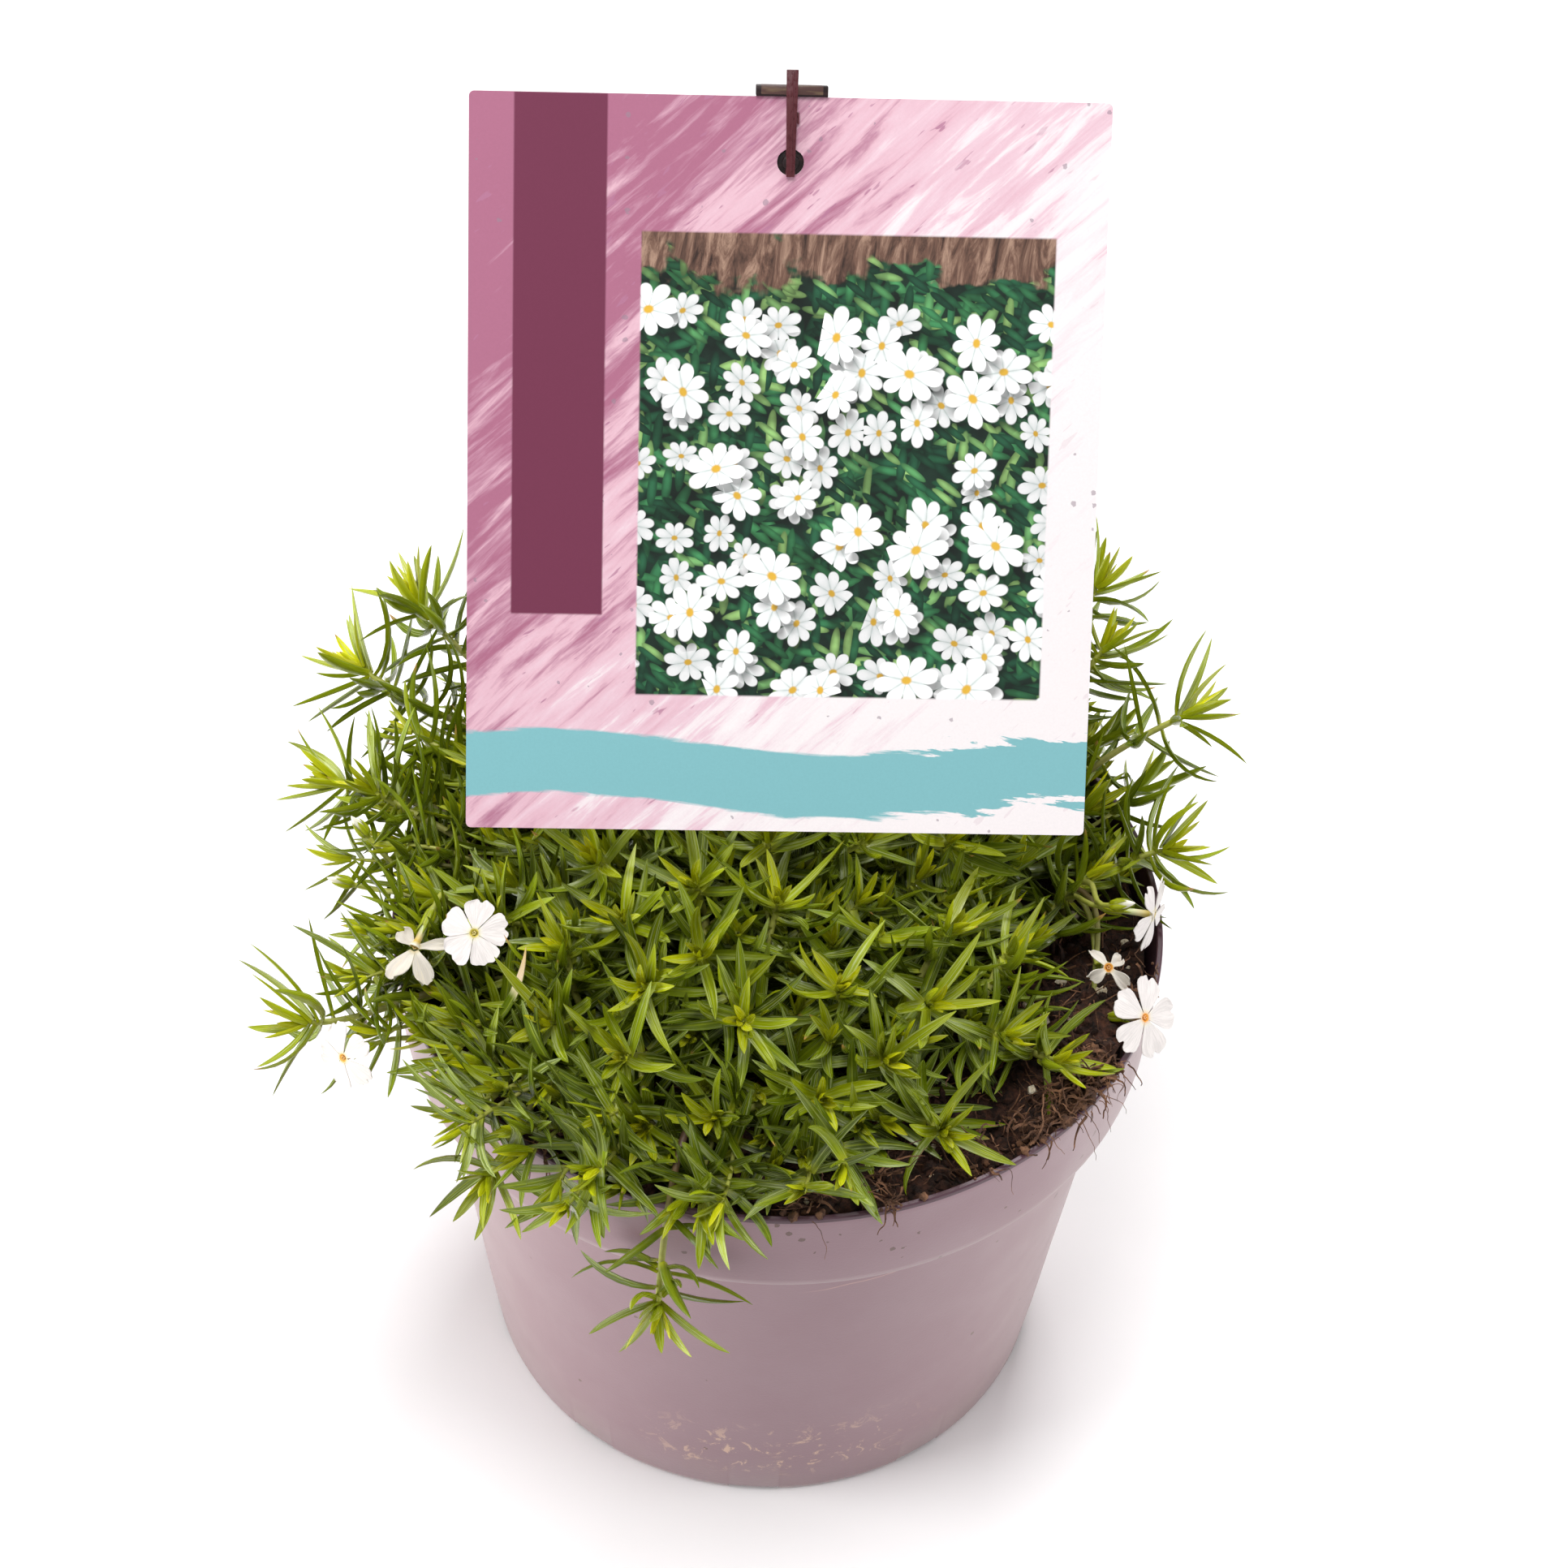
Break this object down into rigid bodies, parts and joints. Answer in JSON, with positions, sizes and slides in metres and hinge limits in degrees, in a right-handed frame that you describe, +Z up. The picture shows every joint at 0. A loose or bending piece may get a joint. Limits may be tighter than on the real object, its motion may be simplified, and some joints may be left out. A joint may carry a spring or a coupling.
{
  "type": "potted creeping phlox",
  "caption": "Creeping phlox with narrow paired leaves and small white flowers in a tapered nursery pot, with a picture card clipped to a slim stake.",
  "frame": {"origin": "middle of the pot's underside, on the plane that the pot stands on", "axes": "+Z up, -Y towards the front, which the card's print faces, +X to the right as seen from the front"},
  "size_m": [0.2336, 0.2147, 0.3511],
  "materials": {
    "pot": "satin",
    "soil": "matte",
    "foliage": "satin",
    "petal": "matte",
    "card": "gloss",
    "stake": "satin"
  },
  "bodies": {
    "root": {"pot": "pot", "soil": "soil", "shoot_front_left_hanging": "foliage", "shoot_front_hanging": "foliage", "shoot_left_long": "foliage", "shoot_left": "foliage", "shoot_left_low": "foliage", "shoot_back_left_out": "foliage", "shoot_back_left": "foliage", "shoot_right_out": "foliage", "shoot_right": "foliage", "shoot_back_right": "foliage", "shoot_back_right_tall": "foliage", "shoot_front_1": "foliage", "shoot_front_2": "foliage", "shoot_front_3": "foliage", "shoot_front_4": "foliage", "shoot_front_5": "foliage", "shoot_front_6": "foliage", "shoot_front_7": "foliage", "shoot_front_8": "foliage", "shoot_front_9": "foliage", "shoot_front_10": "foliage", "shoot_front_11": "foliage", "shoot_front_12": "foliage", "shoot_front_13": "foliage", "shoot_flowering_left": "foliage", "shoot_flowering_low_left": "foliage", "shoot_flowering_right": "foliage", "shoot_01": "foliage", "shoot_02": "foliage", "shoot_03": "foliage", "shoot_04": "foliage", "shoot_05": "foliage", "shoot_06": "foliage", "shoot_07": "foliage", "shoot_08": "foliage", "shoot_09": "foliage", "shoot_10": "foliage", "shoot_11": "foliage", "shoot_12": "foliage", "shoot_13": "foliage", "shoot_14": "foliage", "shoot_15": "foliage", "shoot_16": "foliage", "shoot_17": "foliage", "flower_left_open": "petal", "flower_left_wilted": "petal", "flower_low_left": "petal", "flower_right_side_on": "petal", "flower_right_wilted": "petal", "flower_right_open": "petal", "label_card": "card", "label_stake": "stake"}
  },
  "joints": []
}
